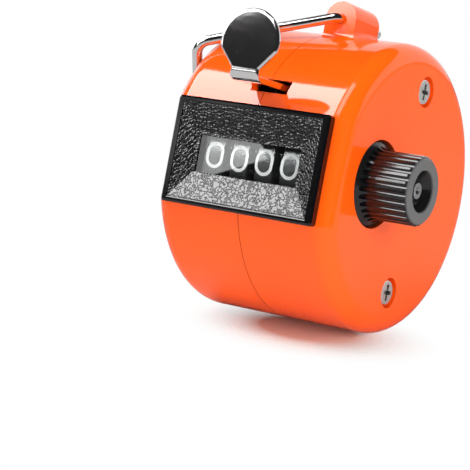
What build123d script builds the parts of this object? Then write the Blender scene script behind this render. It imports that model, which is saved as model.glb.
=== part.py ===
from build123d import *
from math import cos, degrees, pi, radians, sin, sqrt
import os

os.makedirs("parts", exist_ok=True)

# Mechanical tally counter, in millimetres. The counter stands on a small flat under its round
# casing, tipped back by a named angle, so that the window looks up a little. Every piece is
# drawn in the counter's own directions: across runs along the wheel axle to the reset knob,
# back runs from the window to the rear, and rise runs along the height of the window.
# The origin of the part is the middle of the foot, on the ground. The casing is drawn round
# the row of wheels, so the sizes of the mechanism come first.

# One overrun for all cuts, and the reach within which an edge is found by its place
overrun = 1.0
edgeNear = 0.35

# Number wheels: width and play along the axle, rim, web and hub
wheelCount = 4
wheelWidth = 3.1
wheelSideGap = 0.23
wheelEdge = 0.15
rimOver = 1.8
rimThick = 1.2
webThick = 0.8
hubWall = 0.9

# Wheel axle and its clip
axleForward = 9.1
axleRadius = 1.5
axleStubRadius = 1.22
axleTail = 1.2
axleFit = 0.03

# Gears and carry discs on the wheels, and the transfer pinions between them
toothModule = 0.9
gearTeeth = 20
gearFoot = 1.1
gearRootWidth = 1.25
gearTipWidth = 0.45
gearThick = 0.6
carryFingerHeight = 0.6
carryTipWidth = 1.2
carryRootWidth = 2.4
carryThick = 0.5
carryFingerAngle = 36.0
pinionTeeth = 8
pinionFoot = 1.2
pinionRootWidth = 1.15
pinionTipWidth = 0.4
starHeight = 1.1
starRootWidth = 1.0
starTipWidth = 0.6
starInset = 0.02
pinionSideGap = 0.1
shaftRadius = 0.8
shaftTail = 0.6
sleeveWall = 0.7

# Ratchet wheel on the units wheel
ratchetTeeth = 10
ratchetTipRadius = 6.2
ratchetToothHeight = 1.2
ratchetThick = 0.9
ratchetStandoff = 0.16
ratchetNeckWall = 1.5
ratchetPhase = 95.0

# Drive pawl on the slide, its pin, its spring and the tab that carries it
pawlThick = 0.8
pawlPivotInset = 1.0
pawlPivotDrop = 2.35
pawlEye = 1.3
pawlBack = 1.0
pawlTipReach = 4.1
pawlTipHeight = 0.8
pawlTopOver = 0.4
pawlClear = 0.635
pawlSideGap = 0.15
pawlPinRadius = 0.55
pawlPinHead = 0.9
pawlPinHeadThick = 0.2
pinHeadGap = 0.145
pawlTabThick = 0.7
pawlTabRadius = 1.25
pawlTabLength = 2.4
pawlSpringThick = 0.15
pawlSpringWidth = 0.6
pawlSpringRootBack = 5.0
pawlSpringBendBack = 3.6
pawlSpringTipBack = 2.2
pawlSpringGap = 0.06

# Spacers on the axle
spacerWall = 1.1
spacerGap = 0.05

# Bezel and window lens, drawn round the row of wheels
windowSide = 0.755
windowHeight = 5.65
windowDrop = 0.17
wheelGap = 0.3
lensThick = 0.8
lensLapSide = 0.85
lensLapEnd = 0.625
lensGap = 0.05
slopeLipSide = 0.35
slopeLipEnd = 0.275
slopeSide = 3.05
slopeEnd = 4.4
rimSide = 1.05
rimEnd = 0.65
bezelProud = 1.4
bezelCorner = 0.5
bezelEdge = 0.3
bezelLip = 0.2
neckWallSide = 0.55
neckWallEnd = 0.9
neckGap = 0.1
neckBehind = 0.1

# Casing: two halves that meet at the middle of the width
tipBack = 19.3
caseWall = 1.6
caseEdge = 3.0
frontWall = 1.5
flatInset = 0.145
shoulderHeight = 2.6
footWidth = 10.0
seamGroove = 0.06

# Lug for the finger ring, on the right half, its left face at the seam
lugWidth = 5.4
lugLength = 8.6
lugFront = 6.6
lugRise = 2.0
lugSink = 1.9
lugRearEdge = 1.3
lugBaseEdge = 0.9

# Case screws, their bosses and counterbores
screwBack = 1.1
screwInset = 6.8
screwRadius = 1.0
screwHeadRadius = 2.0
screwHeadHeight = 0.9
screwHeadEdge = 0.25
screwGrip = 9.0
crossWidth = 0.62
crossSpan = 2.5
crossDepth = 0.55
counterGap = 0.4
counterDepth = 1.2
bossRadius = 2.4
shoulderStep = 0.8

# Frame inside the casing: two plates and the posts that tie them
plateThick = 1.0
plateGap = 0.6
plateFrontGap = 0.9
plateBackTrim = 5.7
plateTopTrim = 1.7
plateEdge = 0.8
plateFit = 0.05
postRadius = 1.3
postTenonRadius = 0.8
postPeen = 0.3
frontPostForward = 6.0
frontPostInset = 6.7
rearPostInset = 10.0
rearPostDrop = 8.5

# Clips on the axle and on the pinion shaft
clipThick = 0.35
clipGroove = 0.18
clipWidth = 1.5
clipSide = 0.05

# Thumb lever: pad, neck and strip of one bent sheet, and the slide inside the casing
leverThick = 0.9
leverCentreX = 0.6
leverOut = 5.0
leverTravel = 4.2
stripHalfWidth = 2.45
stripClear = 0.15
padRadius = 5.0
padOver = 4.75
padTaperOver = 3.65
neckOver = 0.9
neckHalfWidth = 2.42
leverBend = 1.7
leverInnerBend = 0.8
padEdge = 0.28
slideFrontGap = 0.61
slideRear = 4.0
slideGap = 0.1
slideCorner = 0.8
earLength = 2.4
frontEarInset = 1.4
rearEarInset = 2.6
earOut = 0.5
tongueWidth = 1.6
tongueLength = 6.5

# Slots for the lever: in the casing above the window, and in the plates for the ears
slotBelow = 0.55
slotAbove = 0.7
slotSide = 0.75
slotDepth = 7.0
slotSlack = 0.1

# Return spring of the lever and its seat between the plates
springRadius = 1.3
springWire = 0.4
springTurns = 10
springEndGap = 0.05
seatCaseGap = 3.44
seatThick = 1.0
seatUnder = 1.05
seatHeight = 3.0
seatTenonInset = 0.5
seatSpigotRadius = 0.9
seatSpigotLength = 2.0

# Detent spring that holds the units wheel between counts
detentThick = 0.2
detentTabThick = 0.25
detentTabLength = 4.4
detentTabHeight = 3.4
detentTabForward = 1.6
detentTabDrop = 9.6
detentKneeForward = 3.6
detentKneeDrop = 7.3
detentTipAhead = 0.15
detentTipGap = 0.5
rivetRadius = 0.5
rivetHeadRadius = 0.85
rivetHeadThick = 0.2
rivetSpacing = 2.4

# Reset knob and the spring washer behind it
knobOut = 7.8
knobNeckRise = 1.7
knobSink = 0.3
knobFlareRim = 1.0
knobRadius = 5.25
knobFlareRadius = 6.4
knobHubRadius = 4.2
knobGap = 0.3
knobEndEdge = 0.45
knobRecessRadius = 3.25
knobRecessFloor = 2.3
knobRecessDepth = 1.5
fluteCount = 28
fluteRadius = 0.42
fluteOut = 0.11
fluteStart = 0.5
axleEndDepth = 0.9
axleDimpleRadius = 0.55
axleDimpleDepth = 0.4
washerSpace = 0.9
washerThick = 0.2
washerGap = 0.04

# Finger ring of round wire
wireRadius = 0.8
wireFit = 0.05
pinDepth = 2.2
pinGap = 0.2
frontLegOut = 1.0
rearLegOut = 3.6
bendOut = 0.4
bendDrop = 5.55
frontBendOut = 1.8
rearBendOut = 2.6
barOut = 2.4
barDrop = 10.55
barNarrow = 7.0
legBendRadius = 1.5
sideBendRadius = 2.2
cornerBendRadius = 6.5

# Worked out sizes of the wheels, gears and pinions
wheelPitch = wheelWidth + gearThick + carryThick + wheelSideGap
rowEnd = (wheelCount - 1) / 2 * wheelPitch + wheelWidth / 2
gearPitchRadius = gearTeeth * toothModule / 2
gearTipRadius = gearPitchRadius + toothModule
gearRootRadius = gearPitchRadius - gearFoot
wheelRadius = gearPitchRadius + rimOver
carryRadius = gearPitchRadius - carryFingerHeight
pinionPitchRadius = pinionTeeth * toothModule / 2
pinionTipRadius = pinionPitchRadius + toothModule
pinionRootRadius = pinionPitchRadius - pinionFoot
starTipRadius = pinionRootRadius + starHeight
starThick = carryThick - starInset
pinionBack = gearPitchRadius + pinionPitchRadius - axleForward
hubRadius = axleRadius + hubWall
spacerRadius = axleRadius + spacerWall
sleeveRadius = shaftRadius + sleeveWall
ratchetNeckRadius = axleRadius + ratchetNeckWall
ratchetRootRadius = ratchetTipRadius - ratchetToothHeight
ratchetFace = rowEnd + ratchetStandoff + ratchetThick

# Worked out places across the counter: the pawl beside the ratchet, the plates, the casing
pawlPlane = rowEnd + ratchetStandoff + (ratchetThick - pawlThick) / 2
pawlTabInner = pawlPlane + pawlThick + pawlSideGap
pinEnd = pawlTabInner + pawlTabThick
plateInner = pinEnd + pawlPinHeadThick + pinHeadGap
plateOuter = plateInner + plateThick
slideHalfWidth = plateInner - slideGap
caseHalfWidth = plateOuter + shoulderHeight + caseWall
axleOutLeft = plateOuter + axleTail
shaftOut = plateOuter + shaftTail

# Worked out sizes of the window, from the wheels outwards
windowWidth = 2 * (rowEnd + windowSide)
slopeWidth = windowWidth + 2 * slopeLipSide
slopeHeight = windowHeight + 2 * slopeLipEnd
bezelWidth = slopeWidth + 2 * (slopeSide + rimSide)
bezelHeight = slopeHeight + 2 * (slopeEnd + rimEnd)
lensWidth = windowWidth + 2 * lensLapSide
lensHeight = windowHeight + 2 * lensLapEnd
openingWidth = lensWidth + 2 * (lensGap + neckWallSide + neckGap)
openingHeight = lensHeight + 2 * (lensGap + neckWallEnd + neckGap)
neckLength = frontWall + neckBehind

# Worked out round of the casing: its flat carries the bezel just in front of the wheels
frontFlat = axleForward + wheelRadius + wheelGap + lensThick
flatHeight = bezelHeight - flatInset
caseRadius = sqrt(frontFlat**2 + (flatHeight / 2) ** 2)
caseInner = caseRadius - caseWall
axisHeight = sqrt(caseRadius**2 - (footWidth / 2) ** 2)
screwRise = caseRadius - screwInset
counterRadius = screwHeadRadius + counterGap
shoulderRadius = bossRadius + shoulderStep
ringAxisX = lugWidth / 2
ringAxisHeight = caseRadius + lugRise
lugBoreDepth = pinDepth + pinGap

# Worked out sizes of the frame plates
plateRadius = caseInner - plateGap
plateFront = frontFlat - frontWall - plateFrontGap
plateBack = plateRadius - plateBackTrim
plateTop = plateRadius - plateTopTrim
frontPostDrop = caseRadius - frontPostInset
rearPostBack = caseRadius - rearPostInset

# Worked out places of the lever and its slide, which runs just above the wheels
stripBottom = wheelRadius + stripClear
stripTop = stripBottom + leverThick
leverFront = caseRadius + leverOut
padRise = stripTop + padOver
padTaperRise = stripTop + padTaperOver
neckTopRise = stripTop + neckOver
slideFront = sqrt(caseInner**2 - stripTop**2) - slideFrontGap
frontEarForward = slideFront - frontEarInset
rearEarForward = slideRear + rearEarInset
slotWidth = 2 * (stripHalfWidth + slotSide)
slotHeight = leverThick + slotBelow + slotAbove
slotCentreZ = stripBottom - slotBelow + slotHeight / 2
seatBottom = stripBottom - seatUnder
seatBack = sqrt(caseInner**2 - (seatBottom + seatHeight) ** 2) - seatThick - seatCaseGap

# Worked out places of the pawl: its tip rests clear of the ratchet wheel
pawlPivotForward = slideFront - pawlPivotInset
pawlPivotRise = stripBottom - pawlPivotDrop
pawlTabRear = slideFront - pawlTabLength
pawlTipAhead = pawlPivotForward - pawlTipReach - axleForward
pawlTipDrop = pawlPivotRise - sqrt((ratchetTipRadius + pawlClear) ** 2 - pawlTipAhead**2)
pawlTopDrop = pawlTipDrop - pawlTipHeight
pawlTopReach = pawlTipReach + pawlTopOver
pawlSpringRoot = pawlPivotForward - pawlSpringRootBack
pawlSpringBend = pawlPivotForward - pawlSpringBendBack
pawlSpringTip = pawlPivotForward - pawlSpringTipBack

# Worked out places of the detent leaf: its tip rests just off the root of the ratchet
detentTipForward = axleForward + detentTipAhead
detentTipDrop = ratchetRootRadius + detentTipGap

# Worked out places of the knob and of the finger ring, round the casing
knobInner = plateOuter + washerSpace
knobFlareOut = caseHalfWidth - knobSink
knobFlareRoot = knobFlareOut - knobFlareRim
knobNeckOut = caseHalfWidth + knobNeckRise
knobEnd = caseHalfWidth + knobOut
knobHoleRadius = knobFlareRadius + knobGap
knobBoreRadius = axleStubRadius + axleFit
fluteCentre = knobRadius + fluteOut
axleEnd = knobEnd - axleEndDepth
bendAcross = caseHalfWidth + bendOut
bendRise = caseRadius - bendDrop
bendReach = sqrt(caseRadius**2 - bendRise**2)
frontBendSpan = bendReach + frontBendOut
rearBendSpan = bendReach + rearBendOut
barAcross = caseHalfWidth + barOut
barRise = bendRise - barDrop
barHalfSpan = frontBendSpan - barNarrow

# The counter's own directions in the standing part
across = Vector(1, 0, 0)
back = Vector(0, cos(radians(tipBack)), -sin(radians(tipBack)))
rise = Vector(0, sin(radians(tipBack)), cos(radians(tipBack)))


def place(x, y, z):
    return Vector(0, 0, axisHeight) + across * x + back * y + rise * z


def sidePlane(x):
    return Plane(origin=place(x, 0, 0), x_dir=back, z_dir=across)


def frontPlane(y, x=0):
    return Plane(origin=place(x, y, 0), x_dir=across, z_dir=-back)


def topPlane(z, y=0):
    return Plane(origin=place(0, y, z), x_dir=across, z_dir=rise)


def polar(radius, angle):
    return (radius * cos(radians(angle)), radius * sin(radians(angle)))


def save(shape, name):
    shape.label = name
    export_step(shape, f"parts/{name}.step")


# Outline of a toothed wheel: straight flanks between two widths
def toothOutline(teeth, rootRadius, rootWidth, tipRadius, tipWidth, phase):
    rootHalf = degrees(rootWidth / rootRadius) / 2
    tipHalf = degrees(tipWidth / tipRadius) / 2
    points = []
    for tooth in range(teeth):
        middle = phase + 360 * tooth / teeth
        points.append(polar(rootRadius, middle - rootHalf))
        points.append(polar(tipRadius, middle - tipHalf))
        points.append(polar(tipRadius, middle + tipHalf))
        points.append(polar(rootRadius, middle + rootHalf))
    return points


def toothedDisc(plane, centre, outline, thick):
    with BuildSketch(plane) as profile:
        with Locations(centre):
            Polygon(*outline, align=None)
    extrude(profile.sketch, amount=thick)


# A disc or a tube across the counter, from one side plane by a thickness
def discAcross(x, thick, radius, centre=(0, 0), mode=Mode.ADD):
    with BuildSketch(sidePlane(x)) as profile:
        with Locations(centre):
            Circle(radius)
    extrude(profile.sketch, amount=thick, mode=mode)


axlePoint = (-axleForward, 0)
shaftPoint = (pinionBack, 0)
screwPoints = [(screwBack, screwRise), (screwBack, -screwRise)]
postPoints = [(-frontPostForward, -frontPostDrop), (rearPostBack, -rearPostDrop)]


# Round casing with its front flat, cut to one half, with rounded outer edge
def casingHalf(side):
    with BuildSketch(sidePlane(0)) as outline:
        Circle(caseRadius)
        with Locations((-frontFlat, 0)):
            Rectangle(caseRadius, 2 * caseRadius, align=(Align.MAX, Align.CENTER), mode=Mode.SUBTRACT)
    extrude(outline.sketch, amount=side * caseHalfWidth)
    flats = faces().filter_by(Axis.X).sort_by(Axis.X)
    endFace = flats[-1] if side > 0 else flats[0]
    fillet(endFace.edges(), caseEdge)


# Foot of one half, and its side of the fine groove along the seam
def casingSeam(side):
    with BuildSketch(Plane.XY) as ground:
        Rectangle(2 * caseHalfWidth + overrun, 2 * caseRadius)
    extrude(ground.sketch, amount=-caseRadius, mode=Mode.SUBTRACT)
    with BuildSketch(sidePlane(0)) as groove:
        Circle(caseRadius - seamGroove)
        with Locations((seamGroove - frontFlat, 0)):
            Rectangle(caseRadius, 2 * caseRadius, align=(Align.MAX, Align.CENTER), mode=Mode.SUBTRACT)
    with BuildSketch(sidePlane(0)) as ringCut:
        Rectangle(2 * (caseRadius + ringAxisHeight), 2 * (caseRadius + ringAxisHeight))
        add(groove.sketch_local, mode=Mode.SUBTRACT)
    extrude(ringCut.sketch, amount=side * seamGroove, mode=Mode.SUBTRACT)


# Hollow, bosses for the screws, window opening and lever slot of one half
def casingInside(side):
    with BuildSketch(sidePlane(0)) as hollow:
        Circle(caseInner)
        with Locations((frontWall - frontFlat, 0)):
            Rectangle(caseRadius, 2 * caseRadius, align=(Align.MAX, Align.CENTER), mode=Mode.SUBTRACT)
    extrude(hollow.sketch, amount=side * (caseHalfWidth - caseWall), mode=Mode.SUBTRACT)
    for point in screwPoints:
        discAcross(0, side * (caseHalfWidth - caseWall), bossRadius, point)
        discAcross(side * plateOuter, side * shoulderHeight, shoulderRadius, point)
    with BuildSketch(frontPlane(frontWall + overrun - frontFlat)) as opening:
        Rectangle(openingWidth, openingHeight)
    extrude(opening.sketch, amount=frontWall + 2 * overrun, mode=Mode.SUBTRACT)
    with BuildSketch(frontPlane(slotDepth - caseRadius)) as slot:
        with Locations((leverCentreX, slotCentreZ)):
            Rectangle(slotWidth, slotHeight)
    extrude(slot.sketch, amount=slotDepth + overrun, mode=Mode.SUBTRACT)


# Edges where the side and ends of the lug meet the round of the casing
def isLugBase(edge):
    middle = edge.center() - place(0, 0, 0)
    spread = sqrt(middle.dot(back) ** 2 + middle.dot(rise) ** 2)
    onCase = abs(spread - caseRadius) < edgeNear and middle.dot(rise) > 0
    alongLug = abs(middle.dot(back) + lugFront - lugLength / 2) < lugLength / 2 + edgeNear
    return onCase and alongLug and edgeNear < middle.X < lugWidth + edgeNear


# Right half: end wall with the knob hole, screw counterbores and the ring's lug
with BuildPart() as rightShell:
    casingHalf(1)
    with BuildSketch(frontPlane(-lugFront)):
        with Locations((ringAxisX, ringAxisHeight)):
            Circle(ringAxisX)
            Rectangle(lugWidth, lugRise + lugSink, align=(Align.CENTER, Align.MAX))
    extrude(amount=-lugLength)
    flats = faces().filter_by(GeomType.PLANE)
    rearFace = flats.filter_by(lambda f: f.normal_at().dot(back) > cos(radians(1)))[0]
    fillet(rearFace.edges().filter_by(GeomType.CIRCLE), lugRearEdge)
    fillet(edges().filter_by(isLugBase), lugBaseEdge)
    casingSeam(1)
    casingInside(1)
    for point in screwPoints:
        discAcross(0, caseHalfWidth + overrun, screwRadius + plateFit, point, Mode.SUBTRACT)
        discAcross(caseHalfWidth - counterDepth, counterDepth + overrun, counterRadius, point, Mode.SUBTRACT)
    discAcross(
        caseHalfWidth - caseWall - overrun,
        caseWall + 2 * overrun,
        knobHoleRadius,
        axlePoint,
        Mode.SUBTRACT,
    )
    for start, turn in [(-lugFront - overrun, -1), (lugLength - lugFront + overrun, 1)]:
        with BuildSketch(frontPlane(start)):
            with Locations((ringAxisX, ringAxisHeight)):
                Circle(wireRadius + wireFit)
        extrude(amount=turn * (lugBoreDepth + overrun), mode=Mode.SUBTRACT)
save(rightShell.part, "right_shell")

# Left half
with BuildPart() as leftShell:
    casingHalf(-1)
    casingSeam(-1)
    casingInside(-1)
    for point in screwPoints:
        discAcross(0, -screwGrip - overrun, screwRadius + axleFit, point, Mode.SUBTRACT)
save(leftShell.part, "left_shell")

# Case screws with a cross recess
with BuildPart() as caseScrews:
    for point in screwPoints:
        discAcross(caseHalfWidth - counterDepth, screwHeadHeight, screwHeadRadius, point)
    fillet(edges().group_by(Axis.X)[-1], screwHeadEdge)
    for point in screwPoints:
        discAcross(-screwGrip, caseHalfWidth - counterDepth + screwGrip, screwRadius, point)
        with BuildSketch(sidePlane(caseHalfWidth - counterDepth + screwHeadHeight - crossDepth)):
            with Locations(point):
                Rectangle(crossSpan, crossWidth)
                Rectangle(crossWidth, crossSpan)
        extrude(amount=crossDepth + overrun, mode=Mode.SUBTRACT)
save(caseScrews.part, "case_screws")

# Bezel: a plate on the front flat with four slopes down to the window, and a neck behind it
with BuildPart() as bezel:
    with BuildSketch(frontPlane(-frontFlat)):
        RectangleRounded(bezelWidth, bezelHeight, bezelCorner)
    extrude(amount=bezelProud)
    chamfer(faces().filter_by(lambda f: f.normal_at().dot(back) < -cos(radians(1))).edges(), bezelEdge)
    with BuildSketch(frontPlane(neckLength - frontFlat)):
        Rectangle(openingWidth - 2 * neckGap, openingHeight - 2 * neckGap)
    extrude(amount=neckLength)
    with BuildSketch(frontPlane(-frontFlat - bezelProud)):
        Rectangle(bezelWidth - 2 * rimSide, bezelHeight - 2 * rimEnd)
    with BuildSketch(frontPlane(-frontFlat - bezelLip)):
        Rectangle(slopeWidth, slopeHeight)
    loft(mode=Mode.SUBTRACT)
    with BuildSketch(frontPlane(neckLength - frontFlat)):
        Rectangle(lensWidth + 2 * lensGap, lensHeight + 2 * lensGap)
    extrude(amount=neckLength, mode=Mode.SUBTRACT)
    with BuildSketch(frontPlane(-frontFlat)):
        with Locations((0, -windowDrop)):
            Rectangle(windowWidth, windowHeight)
    extrude(amount=bezelProud, mode=Mode.SUBTRACT)
save(bezel.part, "bezel")

# Clear window, seated behind the lip of the bezel
with BuildPart() as lens:
    with BuildSketch(frontPlane(lensThick - frontFlat)):
        Rectangle(lensWidth, lensHeight)
    extrude(amount=lensThick)
save(lens.part, "window_lens")


# Frame plate with holes for the axle, shaft, bosses, posts and seat, and slots for the slide
def framePlate(inner):
    with BuildSketch(sidePlane(inner)) as outline:
        Circle(plateRadius)
        with Locations(((plateBack - plateFront) / 2, 0)):
            Rectangle(plateFront + plateBack, 2 * plateTop, mode=Mode.INTERSECT)
        fillet(vertices(), plateEdge)
        with Locations(axlePoint):
            Circle(axleRadius + axleFit, mode=Mode.SUBTRACT)
        with Locations(shaftPoint):
            Circle(shaftRadius + axleFit, mode=Mode.SUBTRACT)
        with Locations(screwPoints):
            Circle(bossRadius + plateFit, mode=Mode.SUBTRACT)
        with Locations(postPoints):
            Circle(postTenonRadius + axleFit, mode=Mode.SUBTRACT)
        with Locations((seatBack + seatThick / 2, seatBottom + seatHeight / 2)):
            Rectangle(seatThick + plateFit, seatHeight - 2 * seatTenonInset + plateFit, mode=Mode.SUBTRACT)
        for ear in (frontEarForward, rearEarForward):
            with Locations((-ear - slotSlack, stripBottom - plateFit)):
                Rectangle(
                    earLength + leverTravel + 2 * slotSlack,
                    leverThick + 2 * plateFit,
                    align=Align.MIN,
                    mode=Mode.SUBTRACT,
                )
    extrude(outline.sketch, amount=plateThick)


with BuildPart() as leftPlate:
    framePlate(-plateOuter)
save(leftPlate.part, "left_frame_plate")

# The right plate also takes the rivets of the detent spring
rivetPoints = [
    (-detentTabForward + shift * rivetSpacing / 2, -detentTabDrop - detentTabHeight / 2)
    for shift in (-1, 1)
]
with BuildPart() as rightPlate:
    framePlate(plateInner)
    for point in rivetPoints:
        discAcross(plateInner, plateThick, rivetRadius + axleFit, point, Mode.SUBTRACT)
save(rightPlate.part, "right_frame_plate")

with BuildPart() as framePosts:
    for point in postPoints:
        discAcross(-plateInner, 2 * plateInner, postRadius, point)
        discAcross(-plateOuter - postPeen, 2 * (plateOuter + postPeen), postTenonRadius, point)
save(framePosts.part, "frame_posts")

# Seat of the return spring: a bar with tenons in both plates and a spigot for the spring
with BuildPart() as springSeat:
    with BuildSketch(frontPlane(seatBack + seatThick)):
        with Locations((0, seatBottom + seatHeight / 2)):
            Rectangle(2 * plateInner, seatHeight)
            Rectangle(2 * plateOuter, seatHeight - 2 * seatTenonInset)
    extrude(amount=seatThick)
    with BuildSketch(frontPlane(seatBack)):
        with Locations((0, stripBottom + leverThick / 2)):
            Circle(seatSpigotRadius)
    extrude(amount=seatSpigotLength)
save(springSeat.part, "spring_seat")

# Axle with a stub for the knob, a dimple in its end and a groove for its clip
with BuildPart() as axle:
    discAcross(-axleOutLeft, axleOutLeft + knobInner, axleRadius, axlePoint)
    discAcross(knobInner, axleEnd - knobInner, axleStubRadius, axlePoint)
    with BuildSketch(sidePlane(-plateOuter - clipSide)):
        with Locations(axlePoint):
            Circle(axleRadius)
            Circle(axleRadius - clipGroove, mode=Mode.SUBTRACT)
    extrude(amount=-clipThick - clipSide, mode=Mode.SUBTRACT)
    with BuildSketch(sidePlane(axleEnd)):
        with Locations(axlePoint):
            Circle(axleDimpleRadius)
    with BuildSketch(sidePlane(axleEnd - axleDimpleDepth)):
        with Locations(axlePoint):
            Circle(axleDimpleRadius / 2)
    loft(mode=Mode.SUBTRACT)
save(axle.part, "wheel_axle")


# Open clip that sits in a groove of a rod, its mouth turned to the front
def retainingClip(x, thick, rod, centre):
    with BuildSketch(sidePlane(x)) as profile:
        with Locations(centre):
            Circle(rod + clipWidth)
            Circle(rod - clipGroove + axleFit, mode=Mode.SUBTRACT)
            Rectangle(
                rod + clipWidth + overrun,
                2 * (rod - clipGroove),
                align=(Align.MAX, Align.CENTER),
                mode=Mode.SUBTRACT,
            )
    extrude(profile.sketch, amount=thick)


with BuildPart() as axleClip:
    retainingClip(-plateOuter - clipSide, -clipThick, axleRadius, axlePoint)
save(axleClip.part, "axle_clip")

# Spacers that keep the row of wheels in the middle
with BuildPart() as spacers:
    for start, end in [(-plateInner, -rowEnd), (ratchetFace, plateInner)]:
        with BuildSketch(sidePlane(start + spacerGap)):
            with Locations(axlePoint):
                Circle(spacerRadius)
                Circle(axleRadius + axleFit, mode=Mode.SUBTRACT)
        extrude(amount=end - start - 2 * spacerGap)
save(spacers.part, "axle_spacers")

# Number wheels from the right: rim, web and hub, a gear on the right face of all but the
# units wheel, and a carry disc with two fingers on the left face of all but the last
gearOutline = toothOutline(
    gearTeeth, gearRootRadius, gearRootWidth, gearTipRadius, gearTipWidth, 360 / gearTeeth / 2
)
wheelNames = ["units_wheel", "tens_wheel", "hundreds_wheel", "thousands_wheel"]
for number, name in enumerate(wheelNames):
    wheelRight = rowEnd - number * wheelPitch
    wheelLeft = wheelRight - wheelWidth
    with BuildPart() as wheel:
        discAcross(wheelLeft, wheelWidth, wheelRadius, axlePoint)
        chamfer(edges(), wheelEdge)
        discAcross(wheelLeft, wheelWidth - webThick, wheelRadius - rimThick, axlePoint, Mode.SUBTRACT)
        discAcross(wheelLeft, wheelWidth, hubRadius, axlePoint)
        if number > 0:
            toothedDisc(sidePlane(wheelRight), axlePoint, gearOutline, gearThick)
        else:
            discAcross(wheelRight, ratchetStandoff, ratchetNeckRadius, axlePoint)
        if number < wheelCount - 1:
            discAcross(wheelLeft, -carryThick, carryRadius, axlePoint)
            for side in (-1, 1):
                middle = side * carryFingerAngle / 2
                finger = toothOutline(
                    1, carryRadius, carryRootWidth / 2, gearPitchRadius, carryTipWidth / 2, middle
                )
                with BuildSketch(sidePlane(wheelLeft)):
                    with Locations(axlePoint):
                        Polygon((0, 0), *finger, align=None)
                extrude(amount=-carryThick)
        discAcross(
            wheelLeft - carryThick,
            wheelWidth + carryThick + gearThick,
            axleRadius + axleFit,
            axlePoint,
            Mode.SUBTRACT,
        )
    save(wheel.part, name)

# Ratchet wheel: each tooth rises to its tip and drops back to the root
ratchetStep = 360 / ratchetTeeth
ratchetOutline = []
for tooth in range(ratchetTeeth):
    steepAngle = ratchetStep * tooth - ratchetPhase
    ratchetOutline.append(polar(ratchetRootRadius, steepAngle - ratchetStep))
    ratchetOutline.append(polar(ratchetTipRadius, steepAngle))
with BuildPart() as ratchet:
    toothedDisc(sidePlane(rowEnd + ratchetStandoff), axlePoint, ratchetOutline, ratchetThick)
    discAcross(rowEnd + ratchetStandoff, ratchetThick, axleRadius + axleFit, axlePoint, Mode.SUBTRACT)
save(ratchet.part, "ratchet_wheel")

# Transfer pinions, each in the gap between two wheels: full teeth at the gear, every
# second tooth as a low star at the carry disc
pinionOutline = toothOutline(
    pinionTeeth, pinionRootRadius, pinionRootWidth, pinionTipRadius, pinionTipWidth, 0
)
starOutline = toothOutline(
    pinionTeeth // 2, pinionRootRadius, starRootWidth, starTipRadius, starTipWidth, 0
)
pinionThick = wheelPitch - wheelWidth - 2 * pinionSideGap
firstPinion = rowEnd - wheelWidth - pinionSideGap - pinionThick
pinionStarts = [firstPinion - number * wheelPitch for number in range(wheelCount - 1)]
for start, name in zip(pinionStarts, ["tens_pinion", "hundreds_pinion", "thousands_pinion"]):
    with BuildPart() as pinion:
        toothedDisc(sidePlane(start), shaftPoint, pinionOutline, pinionThick - starThick)
        toothedDisc(sidePlane(start + pinionThick - starThick), shaftPoint, starOutline, starThick)
        discAcross(start, pinionThick, shaftRadius + axleFit, shaftPoint, Mode.SUBTRACT)
    save(pinion.part, name)

# Shaft of the pinions with a groove at each end, its clips and its sleeves
with BuildPart() as shaft:
    discAcross(-shaftOut, 2 * shaftOut, shaftRadius, shaftPoint)
    for side in (-1, 1):
        with BuildSketch(sidePlane(side * (plateOuter + clipSide))):
            with Locations(shaftPoint):
                Circle(shaftRadius)
                Circle(shaftRadius - clipGroove, mode=Mode.SUBTRACT)
        extrude(amount=side * (clipThick + clipSide / 2), mode=Mode.SUBTRACT)
save(shaft.part, "pinion_shaft")

with BuildPart() as shaftClips:
    for side in (-1, 1):
        retainingClip(side * (plateOuter + clipSide), side * clipThick, shaftRadius, shaftPoint)
save(shaftClips.part, "pinion_clips")

sleeveStarts = [-plateInner] + sorted(start + pinionThick for start in pinionStarts)
sleeveEnds = sorted(pinionStarts) + [plateInner]
with BuildPart() as sleeves:
    for start, end in zip(sleeveStarts, sleeveEnds):
        with BuildSketch(sidePlane(start + spacerGap)):
            with Locations(shaftPoint):
                Circle(sleeveRadius)
                Circle(shaftRadius + axleFit, mode=Mode.SUBTRACT)
        extrude(amount=end - start - 2 * spacerGap)
save(sleeves.part, "pinion_sleeves")

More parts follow.
